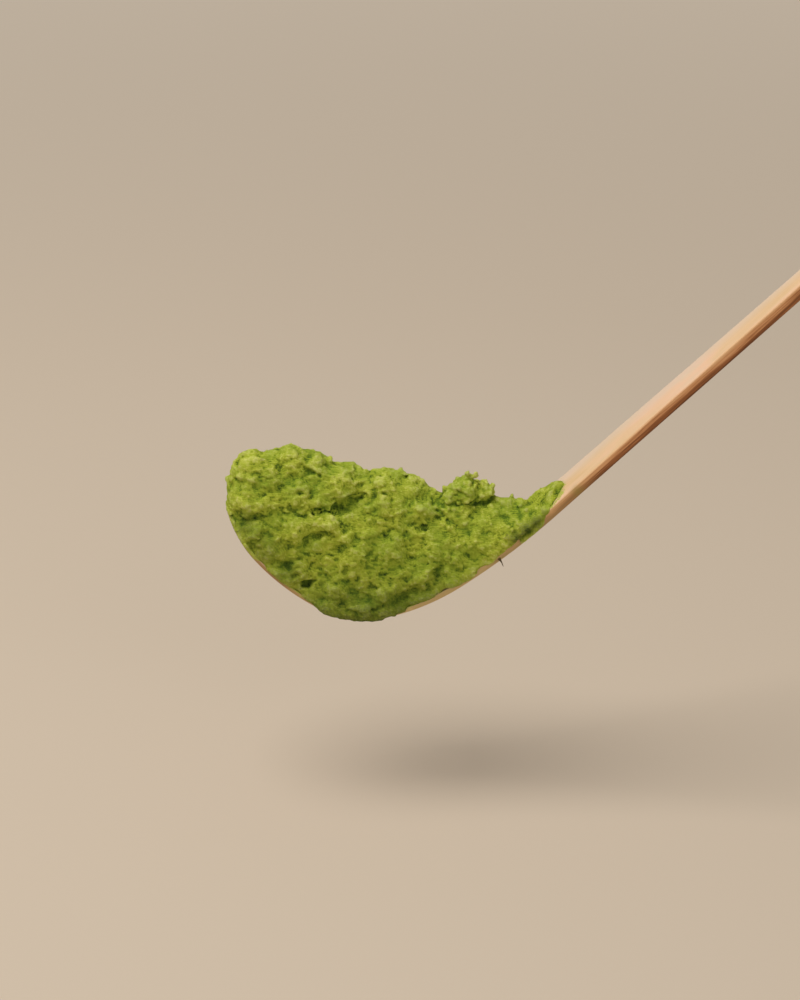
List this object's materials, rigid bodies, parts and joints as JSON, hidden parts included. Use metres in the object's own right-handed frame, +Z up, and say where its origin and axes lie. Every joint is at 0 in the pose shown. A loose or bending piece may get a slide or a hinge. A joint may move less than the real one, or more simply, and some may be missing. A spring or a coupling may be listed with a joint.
{
  "type": "bamboo tea scoop",
  "caption": "Slim strip of bamboo, bent up into a shallow blade at one end, holding a tall heap of powdered green tea that lifts off.",
  "frame": {"origin": "on the handle's flat back, in the middle of its width, where the fingers hold it, 130 mm from the tip along the strip", "axes": "+X runs level from the scoop's tip towards the end of the handle, +Y runs across the strip, and +Z is up as the scoop is held with its load, with the handle rising at 44 degrees"},
  "size_m": [0.1342, 0.0126, 0.1023],
  "materials": {
    "bamboo": "satin",
    "powdered_tea": "matte"
  },
  "bodies": {
    "scoop": {"bamboo_scoop": "bamboo", "stray_fibre": "bamboo"},
    "matcha": {"matcha_bed": "powdered_tea", "matcha_tip_crest": "powdered_tea", "matcha_middle_crest": "powdered_tea", "matcha_knob": "powdered_tea", "matcha_toe": "powdered_tea", "matcha_lip": "powdered_tea"}
  },
  "joints": [
    {"name": "matcha_lift", "type": "slide", "parent": "scoop", "child": "matcha", "axis": [0, 0, 1], "range_m": [0, 0.03]}
  ]
}
